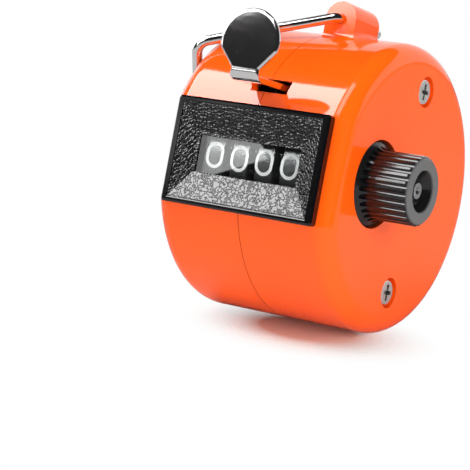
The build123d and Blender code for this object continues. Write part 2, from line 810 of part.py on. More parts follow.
# Thumb lever: upright pad with tapered neck, bent into the strip, and the slide with its
# ears, its spring tongue and the tab that carries the pawl
padTaperHalf = sqrt(padRadius**2 - (padRise - padTaperRise) ** 2)
with BuildPart() as lever:
    with BuildSketch(frontPlane(leverThick - leverFront, leverCentreX)):
        with BuildLine():
            ThreePointArc(
                (-padTaperHalf, padTaperRise), (0, padRise + padRadius), (padTaperHalf, padTaperRise)
            )
            Polyline(
                (padTaperHalf, padTaperRise),
                (neckHalfWidth, neckTopRise),
                (stripHalfWidth, stripBottom),
                (-stripHalfWidth, stripBottom),
                (-neckHalfWidth, neckTopRise),
                (-padTaperHalf, padTaperRise),
            )
        make_face()
    extrude(amount=leverThick)
    padFaces = faces().filter_by(lambda f: abs(f.normal_at().dot(back)) > cos(radians(1)))
    padOutline = padFaces.edges().filter_by(Axis.X, reverse=True)
    chamfer(padOutline, padEdge)
    with BuildSketch(topPlane(stripBottom)):
        with Locations((leverCentreX, -slideFront)):
            Rectangle(2 * stripHalfWidth, leverFront - slideFront, align=(Align.CENTER, Align.MAX))
    extrude(amount=leverThick)
    bendEdges = edges().filter_by(Axis.X).sort_by(Axis(place(0, 0, 0), back))
    lowEdges = bendEdges.group_by(Axis(place(0, 0, 0), back))[0]
    fillet(lowEdges.sort_by(Axis(place(0, 0, 0), rise))[0], leverBend)
    innerEdges = edges().filter_by(Axis.X).filter_by(
        lambda e: abs((e.center() - place(0, 0, stripTop)).dot(rise)) < leverThick / 4
        and abs((e.center() - place(0, leverThick - leverFront, 0)).dot(back)) < leverThick / 4
    )
    fillet(innerEdges, leverInnerBend)
    with BuildSketch(topPlane(stripBottom)):
        with Locations((0, -slideRear)):
            Rectangle(2 * slideHalfWidth, slideFront - slideRear, align=(Align.CENTER, Align.MAX))
        fillet(vertices(), slideCorner)
        for ear in (frontEarForward, rearEarForward):
            with Locations((0, -ear)):
                Rectangle(2 * (plateOuter + earOut), earLength, align=(Align.CENTER, Align.MIN))
        with Locations((0, -slideRear - slideCorner)):
            Rectangle(tongueWidth, tongueLength + slideCorner, align=(Align.CENTER, Align.MIN))
    extrude(amount=leverThick)
    with BuildSketch(sidePlane(pawlTabInner)):
        with Locations((-pawlPivotForward, pawlPivotRise)):
            Circle(pawlTabRadius)
        with Locations((-pawlTabRear, stripTop)):
            Rectangle(slideFront - pawlTabRear, stripTop - pawlPivotRise, align=Align.MAX)
        with Locations((-pawlPivotForward, pawlPivotRise)):
            Circle(pawlPinRadius + axleFit, mode=Mode.SUBTRACT)
    extrude(amount=pawlTabThick)
save(lever.part, "thumb_lever")

# Drive pawl: an eye on the pin and an arm that reaches over the ratchet wheel
pawlPivot = (-pawlPivotForward, pawlPivotRise)
with BuildPart() as pawl:
    with BuildSketch(sidePlane(pawlPlane)):
        with Locations(pawlPivot):
            Circle(pawlEye)
            Polygon(
                (0, pawlBack),
                (0, -pawlBack),
                (pawlTipReach, -pawlTipDrop),
                (pawlTopReach, -pawlTopDrop),
                align=None,
            )
            Circle(pawlPinRadius + axleFit, mode=Mode.SUBTRACT)
    extrude(amount=pawlThick)
save(pawl.part, "drive_pawl")

with BuildPart() as pawlPin:
    discAcross(pawlPlane, pinEnd - pawlPlane, pawlPinRadius, pawlPivot)
    discAcross(pinEnd, pawlPinHeadThick, pawlPinHead, pawlPivot)
save(pawlPin.part, "pawl_pin")

# Leaf that presses the pawl down, fixed under the slide
pawlSlope = (pawlTopDrop + pawlBack) / pawlTopReach
leafTouch = pawlPivotRise + pawlBack - pawlSlope * (pawlPivotForward - pawlSpringTip)
with BuildPart() as pawlSpring:
    with BuildSketch(sidePlane(pawlPlane + (pawlThick - pawlSpringWidth) / 2)):
        Polygon(
            (-pawlSpringRoot, stripBottom),
            (-pawlSpringRoot, stripBottom - pawlSpringThick),
            (-pawlSpringBend, stripBottom - pawlSpringThick),
            (-pawlSpringTip, leafTouch + pawlSpringGap),
            (-pawlSpringTip, leafTouch + pawlSpringGap + pawlSpringThick),
            (-pawlSpringBend - pawlSpringThick, stripBottom),
            align=None,
        )
    extrude(amount=pawlSpringWidth)
save(pawlSpring.part, "pawl_spring")


# Return spring: one tube along a helix, each quarter turn made of two tangent arcs
def helixPoint(turn, start, length):
    angle = 2 * pi * turn
    return place(
        springRadius * cos(angle),
        start + length * turn / springTurns,
        stripBottom + leverThick / 2 + springRadius * sin(angle),
    )


def helixTangent(turn, length):
    angle = 2 * pi * turn
    slope = length / springTurns / (2 * pi * springRadius)
    return (across * -sin(angle) + rise * cos(angle) + back * slope).normalized()


springStart = springWire / 2 + springEndGap - slideRear
springLength = seatBack - springWire / 2 - springEndGap - springStart
quarters = 4
with BuildPart() as returnSpring:
    with BuildLine() as springPath:
        for quarter in range(quarters * springTurns):
            startPoint = helixPoint(quarter / quarters, springStart, springLength)
            endPoint = helixPoint((quarter + 1) / quarters, springStart, springLength)
            startTangent = helixTangent(quarter / quarters, springLength)
            endTangent = helixTangent((quarter + 1) / quarters, springLength)
            chord = endPoint - startPoint
            both = chord.dot(startTangent + endTangent)
            turned = 1 - startTangent.dot(endTangent)
            reach = (sqrt(both**2 + 2 * turned * chord.dot(chord)) - both) / (2 * turned)
            middlePoint = (startPoint + endPoint + (startTangent - endTangent) * reach) / 2
            TangentArc(startPoint, middlePoint, tangent=startTangent)
            TangentArc(endPoint, middlePoint, tangent=-endTangent)
    with BuildSketch(Plane(origin=springPath.line @ 0, z_dir=springPath.line % 0)):
        Circle(springWire / 2)
    sweep(path=springPath.line)
save(returnSpring.part, "return_spring")
print("least gap between spring turns", round(springLength / springTurns - springWire, 3))

# Detent spring: a tab on the right plate and a leaf whose tip rests in the ratchet
leafWidthStart = rowEnd + ratchetStandoff
with BuildPart() as detent:
    with BuildSketch(sidePlane(plateInner - detentTabThick)):
        with Locations((-detentTabForward, -detentTabDrop)):
            Rectangle(detentTabLength, detentTabHeight, align=(Align.CENTER, Align.MAX))
        with Locations(rivetPoints):
            Circle(rivetRadius + axleFit, mode=Mode.SUBTRACT)
    extrude(amount=detentTabThick)
    with BuildSketch(sidePlane(leafWidthStart)):
        Polygon(
            (detentTabLength / 2 - detentTabForward, -detentTabDrop),
            (detentTabLength / 2 - detentTabForward, -detentTabDrop + detentThick),
            (-detentTabForward, -detentTabDrop + detentThick),
            (-detentKneeForward, -detentKneeDrop + detentThick),
            (-detentTipForward, -detentTipDrop + detentThick),
            (-detentTipForward, -detentTipDrop),
            (-detentKneeForward, -detentKneeDrop),
            (-detentTabForward - detentThick, -detentTabDrop),
            align=None,
        )
    extrude(amount=plateInner - leafWidthStart)
save(detent.part, "detent_spring")

with BuildPart() as detentRivets:
    for point in rivetPoints:
        discAcross(
            plateInner - detentTabThick - rivetHeadThick,
            detentTabThick + plateThick + 2 * rivetHeadThick,
            rivetRadius,
            point,
        )
        discAcross(plateInner - detentTabThick, -rivetHeadThick, rivetHeadRadius, point)
        discAcross(plateOuter, rivetHeadThick, rivetHeadRadius, point)
save(detentRivets.part, "detent_rivets")

# Reset knob: hub, flare that fills the hole in the casing, fluted grip and dished end
flareStart = (knobFlareOut, knobFlareRadius)
flareEnd = (knobNeckOut, knobRadius)
with BuildPart() as knob:
    with BuildSketch(topPlane(0, -axleForward)):
        with BuildLine():
            Polyline(
                (knobInner, 0),
                (knobInner, knobHubRadius),
                (knobFlareRoot, knobHubRadius),
                (knobFlareRoot, knobFlareRadius),
                flareStart,
            )
            TangentArc(flareEnd, flareStart, tangent=(-1, 0))
            Polyline(
                flareEnd,
                (knobEnd - knobEndEdge, knobRadius),
                (knobEnd, knobRadius - knobEndEdge),
                (knobEnd, 0),
                (knobInner, 0),
            )
        make_face()
    revolve(axis=Axis(place(0, -axleForward, 0), across))
    with BuildSketch(sidePlane(knobFlareOut + fluteStart)):
        with Locations(axlePoint):
            with PolarLocations(fluteCentre, fluteCount):
                Circle(fluteRadius)
    extrude(amount=knobEnd - knobFlareOut - fluteStart, mode=Mode.SUBTRACT)
    with BuildSketch(sidePlane(knobEnd)):
        with Locations(axlePoint):
            Circle(knobRecessRadius)
    with BuildSketch(sidePlane(knobEnd - knobRecessDepth)):
        with Locations(axlePoint):
            Circle(knobRecessFloor)
    loft(mode=Mode.SUBTRACT)
    discAcross(knobInner, knobEnd - knobInner, knobBoreRadius, axlePoint, Mode.SUBTRACT)
save(knob.part, "reset_knob")

# Dished spring washer between the right plate and the knob
washerInner = plateOuter + washerGap
washerOuter = knobInner - washerGap
with BuildPart() as washer:
    with BuildSketch(topPlane(0, -axleForward)):
        Polygon(
            (washerInner, axleRadius + spacerGap),
            (washerInner + washerThick, axleRadius + spacerGap),
            (washerOuter, knobHubRadius),
            (washerOuter - washerThick, knobHubRadius),
            align=None,
        )
    revolve(axis=Axis(place(0, -axleForward, 0), across))
save(washer.part, "friction_washer")

# Finger ring: pins in the lug, legs over the casing, a bend down its left side and a bar
ringPoints = [
    (ringAxisX, pinDepth - lugFront, ringAxisHeight),
    (ringAxisX, -lugFront - frontLegOut, ringAxisHeight),
    (-bendAcross, -frontBendSpan, bendRise),
    (-barAcross, -barHalfSpan, barRise),
    (-barAcross, barHalfSpan, barRise),
    (-bendAcross, rearBendSpan, bendRise),
    (ringAxisX, lugLength - lugFront + rearLegOut, ringAxisHeight),
    (ringAxisX, lugLength - lugFront - pinDepth, ringAxisHeight),
]
ringRadii = [
    legBendRadius,
    sideBendRadius,
    cornerBendRadius,
    cornerBendRadius,
    sideBendRadius,
    legBendRadius,
]
with BuildPart() as ring:
    with BuildLine() as ringPath:
        FilletPolyline(*[place(*point) for point in ringPoints], radius=ringRadii)
    with BuildSketch(Plane(origin=ringPath.line @ 0, z_dir=ringPath.line % 0)):
        Circle(wireRadius)
    sweep(path=ringPath.line)
save(ring.part, "finger_ring")
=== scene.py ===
import bpy
import bmesh
from math import cos, radians, sin, sqrt
from mathutils import Matrix, Vector


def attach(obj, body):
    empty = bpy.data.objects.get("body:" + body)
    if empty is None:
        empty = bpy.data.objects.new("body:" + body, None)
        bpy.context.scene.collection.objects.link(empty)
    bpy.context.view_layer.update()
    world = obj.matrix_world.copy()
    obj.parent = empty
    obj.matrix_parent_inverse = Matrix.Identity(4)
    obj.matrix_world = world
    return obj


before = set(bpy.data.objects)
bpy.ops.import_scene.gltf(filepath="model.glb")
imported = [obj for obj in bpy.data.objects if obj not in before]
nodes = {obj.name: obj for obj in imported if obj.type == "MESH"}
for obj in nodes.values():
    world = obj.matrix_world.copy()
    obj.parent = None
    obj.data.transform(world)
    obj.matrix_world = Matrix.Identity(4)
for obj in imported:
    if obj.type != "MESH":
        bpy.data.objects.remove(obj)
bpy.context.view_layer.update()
mm = 0.001

# the counter stands tipped back, so its own directions are turned about X
counter = {
    "tip": 19.3,
    "caseRadius": 22.5,
    "foot": 10.0,
    "axleForward": 9.1,
}
tip = radians(counter["tip"])
across = Vector((1, 0, 0))
back = Vector((0, cos(tip), -sin(tip)))
rise = Vector((0, sin(tip), cos(tip)))
axisHeight = sqrt(counter["caseRadius"] ** 2 - (counter["foot"] / 2) ** 2) * mm
middle = Vector((0, 0, axisHeight))


def place(x, y, z):  # millimetres along the counter's own directions
    return middle + across * x * mm + back * y * mm + rise * z * mm


# shader maths: a signal is a socket that can be added, multiplied and so on
class Signal:
    def __init__(self, graph, socket):
        self.graph = graph
        self.socket = socket

    def __add__(self, other):
        return self.graph.maths("ADD", self, other)

    def __sub__(self, other):
        return self.graph.maths("SUBTRACT", self, other)

    def __rsub__(self, other):
        return self.graph.maths("SUBTRACT", other, self)

    def __mul__(self, other):
        return self.graph.maths("MULTIPLY", self, other)

    def __truediv__(self, other):
        return self.graph.maths("DIVIDE", self, other)

    def __abs__(self):
        return self.graph.maths("ABSOLUTE", self, 0)

    __radd__ = __add__
    __rmul__ = __mul__


class Graph:
    def __init__(self, tree):
        self.tree = tree
        self.tree.nodes.clear()

    # any node: its type, its settings, its sockets and the output that is wanted
    def node(self, kind, settings=None, sockets=None, output=0):
        made = self.tree.nodes.new(kind)
        for key, value in (settings or {}).items():
            setattr(made, key, value)
        for key, value in (sockets or {}).items():
            if isinstance(value, Signal):
                self.tree.links.new(value.socket, made.inputs[key])
            else:
                made.inputs[key].default_value = value
        return Signal(self, made.outputs[output]) if made.outputs else made

    def maths(self, operation, first, second):
        return self.node("ShaderNodeMath", {"operation": operation}, {0: first, 1: second})

    # from zero at the first value to one at the second
    def between(self, value, low, high):
        return self.node("ShaderNodeClamp", None, {"Value": (value - low) / (high - low)})

    def mix(self, factor, first, second):
        settings = {"data_type": "RGBA"}
        return self.node("ShaderNodeMix", settings, {"Factor": factor, 6: first, 7: second}, 2)

    def vector(self, operation, first, second, output="Vector"):
        return self.node("ShaderNodeVectorMath", {"operation": operation}, {0: first, 1: second}, output)

    def length(self, value):
        return self.node("ShaderNodeVectorMath", {"operation": "LENGTH"}, {0: value}, "Value")

    def combine(self, x, y, z):
        return self.node("ShaderNodeCombineXYZ", None, {0: x, 1: y, 2: z})

    def stretched(self, where, scale):
        return self.node("ShaderNodeMapping", None, {"Vector": where, "Scale": scale})

    def objectPlace(self):
        return self.node("ShaderNodeTexCoord", None, None, "Object")

    def lightPath(self, kind):
        return self.node("ShaderNodeLightPath", None, None, kind)

    def noise(self, where, size, detail, roughness=0.5):  # the size is in millimetres
        sockets = {"Vector": where, "Scale": 1 / (size * mm), "Detail": detail, "Roughness": roughness}
        return self.node("ShaderNodeTexNoise", None, sockets, "Fac")

    def bump(self, height, depth, strength, normal=None):
        sockets = {"Height": height, "Distance": depth * mm, "Strength": strength}
        if normal:
            sockets["Normal"] = normal
        return self.node("ShaderNodeBump", None, sockets)


def material(name, paint, plain):
    made = bpy.data.materials.new(name)
    made.use_nodes = True
    graph = Graph(made.node_tree)
    sockets = dict(plain)
    sockets.update(paint(graph, graph.objectPlace()))
    shader = graph.node("ShaderNodeBsdfPrincipled", None, sockets)
    graph.node("ShaderNodeOutputMaterial", None, {"Surface": shader})
    return made


# distances from the counter's middle along its own directions, in millimetres
def ownPlace(graph, where):
    fromMiddle = graph.vector("SUBTRACT", where, tuple(middle))
    return [
        graph.vector("DOT_PRODUCT", fromMiddle, tuple(direction / mm), "Value")
        for direction in (across, back, rise)
    ]


print("casing plastic")

casing = {
    "orange": (1.0, 0.105, 0.004, 1),
    "deepOrange": (0.9, 0.08, 0.003, 1),
    "deepShare": 0.6,
    "patchNoise": (9.0, 3.0),
    "dust": (1.0, 0.3, 0.12, 1),
    "dustShare": 0.05,
    "scratchStretch": (1.0, 0.12, 1.0),
    "scratchNoise": (0.35, 4.0, 0.7),
    "scratchEdge": (0.66, 0.72),
    "scratchDepth": 0.6,
    "rubbedAcross": (-11.5, -14.5),  # where the folded ring rests
    "rubbedRise": (6.0, 16.0),
    "rubbedShare": 0.12,
    # painted shade: the seam between the two halves is painted dark, as if shadowed in its groove
    "seamPaintedShade": (0.42, 0.045, 0.002, 1),
    "seamShadeShare": 0.85,
    "seamEdge": (0.09, 0.06),
    "seamOutside": (0.08, 0.04),  # keeps the painted seam shade off the ring's lug
    "roughness": 0.06,
    "rippleRough": 0.04,
    "wornRough": 0.08,
    "rippleNoise": (0.7, 2.0),
    "rippleDepth": 0.002,
    "rippleStrength": 0.6,
}


def paintCasing(graph, where):
    patch = graph.noise(where, *casing["patchNoise"])
    ripple = graph.noise(where, *casing["rippleNoise"])
    hair = graph.stretched(where, casing["scratchStretch"])
    scratch = graph.between(graph.noise(hair, *casing["scratchNoise"]), *casing["scratchEdge"])
    x, y, z = ownPlace(graph, where)
    rubbed = graph.between(x, *casing["rubbedAcross"]) * graph.between(z, *casing["rubbedRise"])
    outside = graph.length(graph.combine(0, y, z)) - counter["caseRadius"]
    # painted shade along the seam groove between the two halves
    seam = graph.between(outside, *casing["seamOutside"]) * graph.between(abs(x), *casing["seamEdge"])
    colour = graph.mix(patch * casing["deepShare"], casing["orange"], casing["deepOrange"])
    worn = scratch * (casing["dustShare"] + rubbed * casing["rubbedShare"])
    colour = graph.mix(worn, colour, casing["dust"])
    roughness = casing["roughness"] + ripple * casing["rippleRough"]
    height = ripple - scratch * casing["scratchDepth"]
    return {
        "Base Color": graph.mix(seam * casing["seamShadeShare"], colour, casing["seamPaintedShade"]),
        "Roughness": roughness + (scratch + rubbed) * casing["wornRough"],
        "Normal": graph.bump(height, casing["rippleDepth"], casing["rippleStrength"]),
    }


glossyOrange = material("glossy orange plastic", paintCasing, {"IOR": 1.5})

print("bezel plastic")

bezel = {
    "black": (0.0025, 0.0025, 0.003, 1),
    "grey": (0.006, 0.006, 0.0065, 1),
    # painted shade: the crevices between the pebbles on the slopes are painted darker
    "creviceShadeShare": 0.5,
    "outerAcross": 12.4,  # half sizes of the slopes, at the lip and at the window
    "outerRise": 7.5,
    "innerAcross": 9.3,
    "innerRise": 3.1,
    "lipSoft": 0.1,
    "front": -22.36,
    "frontSoft": 0.06,
    "mitreSoft": 0.02,
    "windingNoise": (0.58, 1.5),  # winding grain on the bottom slope
    "windingWidth": 0.07,
    "windingDepth": 1.5,
    "windingFine": 0.15,
    "pebbleSize": 0.5,  # pebbled grain on the other three
    "pebbleEdge": 0.25,
    "pebbleDepth": 1.0,
    "pebbleFine": 0.3,
    "fineNoise": (0.16, 3.0, 0.6),
    "lipFine": 0.02,
    "grainDepth": 0.06,
    "bottomCoat": 0.25,
    "roughness": 0.1,
    "slopeRough": 0.08,
}


def paintBezel(graph, where):
    x, y, z = ownPlace(graph, where)
    slope = graph.between(abs(x), bezel["outerAcross"], bezel["outerAcross"] - bezel["lipSoft"])
    slope = slope * graph.between(abs(z), bezel["outerRise"], bezel["outerRise"] - bezel["lipSoft"])
    slope = slope * graph.between(y, bezel["front"], bezel["front"] + bezel["frontSoft"])
    downShare = (0 - z - bezel["innerRise"]) / (bezel["outerRise"] - bezel["innerRise"])
    aside = graph.maths("MAXIMUM", abs(x) - bezel["innerAcross"], 0)
    asideShare = aside / (bezel["outerAcross"] - bezel["innerAcross"])
    bottom = graph.between(downShare - asideShare, -bezel["mitreSoft"], bezel["mitreSoft"])
    noise = graph.noise(where, *bezel["windingNoise"])
    winding = graph.between(abs(noise - 0.5), 0.0, bezel["windingWidth"])  # low along winding lines
    cells = graph.node(
        "ShaderNodeTexVoronoi",
        {"feature": "DISTANCE_TO_EDGE"},
        {"Vector": where, "Scale": 1 / (bezel["pebbleSize"] * mm)},
        "Distance",
    )
    pebble = graph.between(cells, 0.0, bezel["pebbleEdge"])
    fine = graph.noise(where, *bezel["fineNoise"])
    windingGrain = winding * bezel["windingDepth"] + fine * bezel["windingFine"]
    pebbleGrain = pebble * bezel["pebbleDepth"] + fine * bezel["pebbleFine"]
    grain = bottom * windingGrain + (1 - bottom) * pebbleGrain
    # painted shade, darker towards the pebble crevices on the slopes
    colour = graph.mix(slope * (1 - pebble) * bezel["creviceShadeShare"], bezel["grey"], bezel["black"])
    return {
        "Base Color": graph.mix(slope, bezel["black"], colour),
        "Coat Weight": bottom * slope * bezel["bottomCoat"],
        "Roughness": bezel["roughness"] + slope * bezel["slopeRough"] + slope * fine * bezel["slopeRough"],
        "Normal": graph.bump(grain * slope + fine * bezel["lipFine"], bezel["grainDepth"], 1.0),
    }


grainedBlack = material("black grained plastic", paintBezel, {"IOR": 1.5, "Coat Roughness": 0.12})

print("metals")

plating = {
    "silver": (0.86, 0.86, 0.87, 1),
    "warm": (0.8, 0.79, 0.78, 1),
    "softEdge": 0.3,
    "softSamples": 6,
    "swirlNoise": (2.4, 4.0),
    "hairStretch": (0.06, 1.0, 1.0),
    "hairNoise": (0.12, 3.0, 0.7),
    "hairEdge": (0.6, 0.72),
    "hairDepth": 0.1,
    "roughness": 0.02,
    "hairRough": 0.03,
    "swirlRough": 0.02,
    "waveDepth": 0.002,
    "waveStrength": 0.15,
}


def paintChrome(graph, where):
    swirl = graph.noise(where, *plating["swirlNoise"])
    hair = graph.stretched(where, plating["hairStretch"])
    line = graph.between(graph.noise(hair, *plating["hairNoise"]), *plating["hairEdge"])
    softened = graph.node(
        "ShaderNodeBevel", {"samples": plating["softSamples"]}, {"Radius": plating["softEdge"] * mm}
    )
    height = swirl + line * plating["hairDepth"]
    return {
        "Base Color": graph.mix(swirl, plating["silver"], plating["warm"]),
        "Roughness": plating["roughness"] + line * plating["hairRough"] + swirl * plating["swirlRough"],
        "Normal": graph.bump(height, plating["waveDepth"], plating["waveStrength"], softened),
    }


chrome = material("polished chrome", paintChrome, {"Metallic": 1.0})

metals = {
    "patchNoise": (3.0, 4.0),
    "grainRough": 0.12,
    "patchRough": 0.05,
    "grainStrength": 0.5,
    "zinc": {
        "name": "zinc plated steel",
        "light": (0.55, 0.56, 0.57, 1),
        "dark": (0.4, 0.41, 0.42, 1),
        "roughness": 0.3,
        "grainNoise": (0.25, 3.0, 0.65),
        "grainDepth": 0.008,
    },
    "brass": {
        "name": "turned brass",
        "light": (0.72, 0.5, 0.2, 1),
        "dark": (0.5, 0.32, 0.12, 1),
        "roughness": 0.24,
        "grainNoise": (0.2, 3.0, 0.65),
        "grainDepth": 0.008,
    },
    "nickel": {
        "name": "nickel plated screw",
        "light": (0.97, 0.96, 0.93, 1),
        "dark": (0.84, 0.82, 0.78, 1),
        "roughness": 0.12,
        "grainNoise": (0.8, 3.0, 0.65),
        "grainDepth": 0.04,
    },
    "blued": {
        "name": "spring steel",
        "light": (0.32, 0.33, 0.35, 1),
        "dark": (0.2, 0.2, 0.22, 1),
        "roughness": 0.28,
        "grainNoise": (0.15, 3.0, 0.65),
        "grainDepth": 0.008,
    },
}


def metal(kind):
    setup = metals[kind]

    def paint(graph, where):
        patch = graph.noise(where, *metals["patchNoise"])
        grain = graph.noise(where, *setup["grainNoise"])
        return {
            "Base Color": graph.mix(patch, setup["light"], setup["dark"]),
            "Roughness": setup["roughness"] + grain * metals["grainRough"] + patch * metals["patchRough"],
            "Normal": graph.bump(grain, setup["grainDepth"], metals["grainStrength"]),
        }

    return material(setup["name"], paint, {"Metallic": 1.0})


zinc, brass, nickel, springSteel = [metal(kind) for kind in ("zinc", "brass", "nickel", "blued")]

print("knob and wheel plastics")

knob = {
    "black": (0.004, 0.004, 0.0045, 1),
    "sheenAndSmear": (0.15, 0.15, 0.148, 1),
    "endFace": (23.1, 23.4),  # from the flutes to the end face, which is painted lighter grey as a painted sheen
    "endSheenShare": 0.65,
    "smearNoise": (2.6, 4.0),
    "smearShare": 0.03,
    "roughness": 0.17,
    "endRough": 0.18,
    "smearRough": 0.06,
    "fineNoise": (0.22, 3.0, 0.6),
    "fineDepth": 0.006,
    "fineStrength": 0.3,
}


def paintKnob(graph, where):
    endFace = graph.between(ownPlace(graph, where)[0], *knob["endFace"])
    fine = graph.noise(where, *knob["fineNoise"])
    smear = graph.noise(where, *knob["smearNoise"])
    # painted sheen: the end face is painted lighter grey; the smear noise adds random grey tone
    sheenAndSmear = endFace * knob["endSheenShare"] + smear * knob["smearShare"]
    return {
        "Base Color": graph.mix(sheenAndSmear, knob["black"], knob["sheenAndSmear"]),
        "Roughness": knob["roughness"] + endFace * knob["endRough"] + smear * knob["smearRough"],
        "Normal": graph.bump(fine, knob["fineDepth"], knob["fineStrength"]),
    }


knobShine = {"IOR": 1.5, "Coat Weight": 0.1, "Coat Roughness": 0.06}
knobBlack = material("glossy black plastic", paintKnob, knobShine)

wheels = {
    "black": ((0.006, 0.006, 0.007, 1), (0.02, 0.02, 0.021, 1), 0.26),
    "ink": ((0.95, 0.95, 0.93, 1), (0.86, 0.86, 0.84, 1), 0.4),
    "natural": ((0.8, 0.78, 0.7, 1), (0.68, 0.65, 0.56, 1), 0.35),
    "patchNoise": (1.6, 4.0),
    "patchRough": 0.08,
    "fineNoise": (0.18, 2.0),
    "fineDepth": 0.005,
    "fineStrength": 0.4,
}


def wheelPlastic(name, kind, plain):
    fresh, dull, roughness = wheels[kind]

    def paint(graph, where):
        patch = graph.noise(where, *wheels["patchNoise"])
        fine = graph.noise(where, *wheels["fineNoise"])
        return {
            "Base Color": graph.mix(patch, fresh, dull),
            "Roughness": roughness + patch * wheels["patchRough"],
            "Normal": graph.bump(fine, wheels["fineDepth"], wheels["fineStrength"]),
        }

    return material(name, paint, plain)


wheelBlack = wheelPlastic("black wheel plastic", "black", {"IOR": 1.5, "Specular IOR Level": 0.9})
digitWhite = wheelPlastic("white digit ink", "ink", {"IOR": 1.45})
pinionNatural = wheelPlastic("natural pinion plastic", "natural", {"IOR": 1.5})

print("window")

window = {
    "clear": (1, 1, 1, 1),
    "tint": (0.97, 0.98, 0.98, 1),
    "mirrorShare": 0.07,
    "smearNoise": (3.5, 4.0),
    "smearShare": 0.02,
    "smearDepth": 0.0005,
    "smearStrength": 0.1,
    "hairStretch": (1.0, 0.1, 0.1),
    "hairNoise": (0.2, 3.0, 0.7),
    "hairEdge": (0.64, 0.7),
    "hairShare": 0.03,
    "roughness": 0.01,
    "hairRough": 0.08,
}


def clearSheet():  # clear sheet with a faint mirror on it
    made = bpy.data.materials.new("clear window")
    made.use_nodes = True
    graph = Graph(made.node_tree)
    where = graph.objectPlace()
    smear = graph.noise(where, *window["smearNoise"])
    hair = graph.stretched(where, window["hairStretch"])
    line = graph.between(graph.noise(hair, *window["hairNoise"]), *window["hairEdge"])
    sockets = {
        "Base Color": graph.mix(smear, window["clear"], window["tint"]),
        "Metallic": 1.0,
        "Roughness": window["roughness"] + line * window["hairRough"],
        "Normal": graph.bump(smear, window["smearDepth"], window["smearStrength"]),
    }
    mirror = graph.node("ShaderNodeBsdfPrincipled", None, sockets)
    through = graph.node("ShaderNodeBsdfTransparent", None, {"Color": window["tint"]})
    share = window["mirrorShare"] + line * window["hairShare"] + smear * window["smearShare"]
    sheet = graph.node("ShaderNodeMixShader", None, {0: share, 1: through, 2: mirror})
    graph.node("ShaderNodeOutputMaterial", None, {"Surface": sheet})
    return made


# what isn't listed here is zinc plated
finishes = [
    (glossyOrange, ("right_shell", "left_shell")),
    (grainedBlack, ("bezel",)),
    (clearSheet(), ("window_lens",)),
    (chrome, ("thumb_lever", "finger_ring")),
    (knobBlack, ("reset_knob",)),
    (nickel, ("case_screws",)),
    (brass, ("axle_spacers", "pinion_sleeves", "detent_rivets")),
    (springSteel, ("friction_washer", "detent_spring", "return_spring", "pawl_spring")),
    (springSteel, ("axle_clip", "pinion_clips")),
    (wheelBlack, ("units_wheel", "tens_wheel", "hundreds_wheel", "thousands_wheel")),
    (pinionNatural, ("tens_pinion", "hundreds_pinion", "thousands_pinion")),
]
finishOf = {name: finish for finish, names in finishes for name in names}
for name, part in nodes.items():
    part.data.materials.clear()
    part.data.materials.append(finishOf.get(name, zinc))

print("digits")

digits = {
    "wheelRadius": 10.8,
    "pitch": 4.43,
    "height": 4.0,
    "width": 3.1,
    "stroke": 0.5,
    "turnEach": 36,
    "proud": 0.02,
    "strokeLift": 0.004,  # each further stroke of a digit lies this much higher
    "pointStep": 0.3,
    "arcSteps": 18,
    "joinWithin": 0.001,
    "mitreLimit": 0.5,
}


# points of an arc in a box of one by one, from a start to an end angle in degrees
def arc(centreX, centreZ, radiusX, radiusZ, start, end):
    count = digits["arcSteps"]
    angles = [radians(start + (end - start) * step / count) for step in range(count + 1)]
    return [(centreX + radiusX * cos(angle), centreZ + radiusZ * sin(angle)) for angle in angles]


# the strokes of each digit, as shares of its width and height
sixStemShares = arc(0.5, -0.2, 1.0, 0.85, 180, 118)
strokeShares = [
    [arc(0, 0.13, 0.5, 0.37, 0, 180) + arc(0, -0.13, 0.5, 0.37, 180, 360) + [(0.5, 0.13)]],
    [[(-0.28, 0.26), (0.06, 0.5), (0.06, -0.5)]],
    [arc(0, 0.2, 0.46, 0.3, 165, -35) + [(-0.46, -0.5), (0.5, -0.5)]],
    [arc(0, 0.25, 0.42, 0.25, 150, -90), arc(0, -0.23, 0.48, 0.27, 90, -150)],
    [[(0.22, -0.5), (0.22, 0.5), (-0.5, -0.2), (0.5, -0.2)]],
    [[(0.42, 0.5), (-0.34, 0.5), (-0.4, 0.02)] + arc(0, -0.18, 0.48, 0.32, 140, -150)],
    [arc(0, -0.2, 0.48, 0.3, 0, 360), sixStemShares],
    [[(-0.48, 0.5), (0.48, 0.5), (-0.12, -0.5)]],
    [arc(0, 0.26, 0.38, 0.24, 0, 360), arc(0, -0.23, 0.48, 0.27, 0, 360)],
    [arc(0, 0.2, 0.48, 0.3, 0, 360), [(-x, -z) for x, z in sixStemShares]],
]


# even steps along a stroke, so that it can follow the round of the wheel
def evenSteps(points, step):
    found = [points[0]]
    for first, second in zip(points, points[1:]):
        length = sqrt((second[0] - first[0]) ** 2 + (second[1] - first[1]) ** 2)
        parts = max(1, round(length / step))
        for part in range(1, parts + 1):
            share = part / parts
            found.append(tuple(a + (b - a) * share for a, b in zip(first, second)))
    return found


# the two edges of a flat band along the points, mitred at the corners
def strokeEdges(points, closed):
    left, right = [], []
    count = len(points)
    for index, (x, z) in enumerate(points):
        before = points[index - 1] if index else (points[-2] if closed else points[0])
        after = points[index + 1] if index < count - 1 else (points[1] if closed else points[-1])
        inward = Vector((x - before[0], z - before[1]))
        outward = Vector((after[0] - x, after[1] - z))
        inward = inward.normalized() if inward.length else outward.normalized()
        outward = outward.normalized() if outward.length else inward
        along = (inward + outward).normalized()
        normal = Vector((-along.y, along.x))
        mitre = max(digits["mitreLimit"], normal.dot(Vector((-inward.y, inward.x))))
        reach = digits["stroke"] / 2 / mitre
        left.append((x + normal.x * reach, z + normal.y * reach))
        right.append((x - normal.x * reach, z - normal.y * reach))
    return left, right


def onWheel(x, z, turn, lift):  # a point of a digit, wrapped round the wheel
    angle = z / digits["wheelRadius"] + turn
    radius = digits["wheelRadius"] + lift
    return place(x, -counter["axleForward"] - radius * cos(angle), radius * sin(angle))


